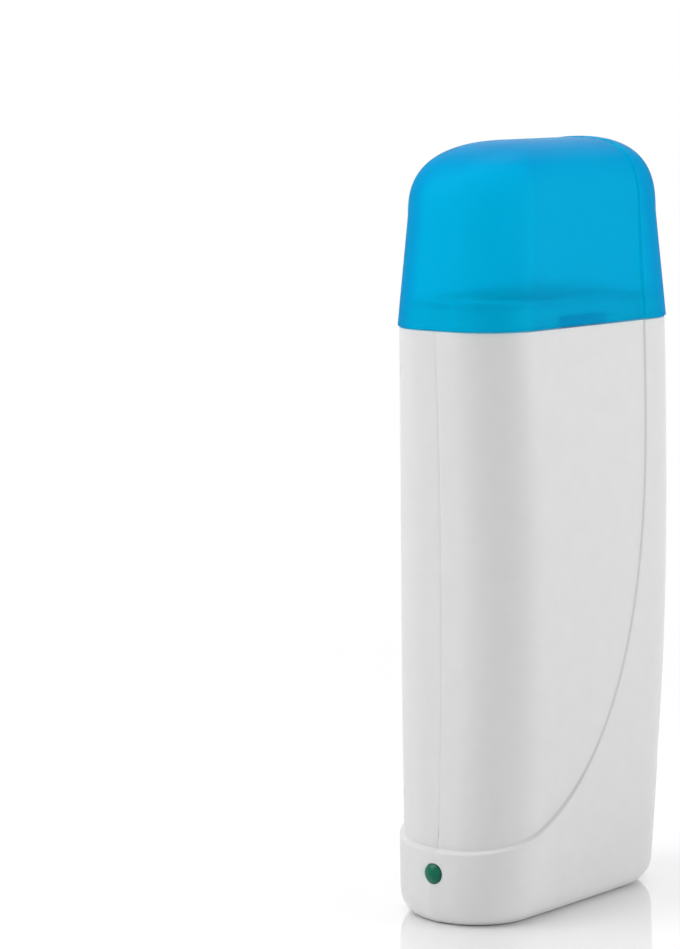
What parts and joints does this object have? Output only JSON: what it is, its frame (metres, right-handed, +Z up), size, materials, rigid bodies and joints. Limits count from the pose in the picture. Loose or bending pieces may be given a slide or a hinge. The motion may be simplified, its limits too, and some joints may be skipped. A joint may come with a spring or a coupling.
{
  "type": "roll-on wax heater",
  "caption": "Slim upright roll-on wax heater: two moulded shells with a swept boot, a heated refill well inside, an indicator lens and a lift-off translucent cap.",
  "frame": {"origin": "centre of the bounding box's underside, on the table", "axes": "+Z up, -X towards the front with the indicator lens, +X towards the back with the power inlet, Y across the depth with the joint between the shells at y = 0"},
  "size_m": [0.088, 0.0458, 0.205],
  "materials": {
    "housing": "satin moulded plastic, off-white",
    "cap": "translucent blue moulded plastic, softly frosted inside",
    "guide": "satin heat-resistant plastic, off-white",
    "sleeve": "mill-finished extrusion",
    "foot": "dark heat-resistant moulding",
    "film": "amber insulating film",
    "contact": "tinned contact metal",
    "ceramic": "fired ceramic, dark grey",
    "spring": "spring steel",
    "mica": "pressed mica sheet",
    "fibre": "glass-fibre tube",
    "lens": "green moulded lens",
    "lamp": "clear lamp body",
    "board": "coated circuit board",
    "resistor": "lacquered body",
    "inlet": "black moulded plastic",
    "pins": "nickel-plated brass",
    "lead_brown": "brown lead insulation",
    "lead_blue": "blue lead insulation",
    "lead_black": "black lead insulation",
    "screw": "zinc-plated steel"
  },
  "bodies": {
    "root": {"shell_right": "housing", "shell_left": "housing", "mouth_guide": "guide", "heat_sleeve": "sleeve", "chamber_foot": "foot", "contact_film": "film", "contact_plates": "contact", "heating_pills": "ceramic", "pressure_plate": "sleeve", "leaf_spring": "spring", "mica_sheet": "mica", "thermal_fuse": "contact", "fuse_sleeve": "fibre", "fuse_crimps": "spring", "indicator_lens": "lens", "indicator_lamp": "lamp", "lamp_board": "board", "lamp_resistor": "resistor", "inlet_socket": "inlet", "inlet_pins": "pins", "lead_live": "lead_brown", "lead_neutral": "lead_blue", "lead_fuse": "lead_brown", "lead_lamp": "lead_black", "case_screws": "screw"},
    "cap": {"cap": "cap"}
  },
  "joints": [
    {"name": "cap_lift", "type": "slide", "parent": "root", "child": "cap", "axis": [0, 0, 1], "range_m": [0, 0.06]}
  ]
}
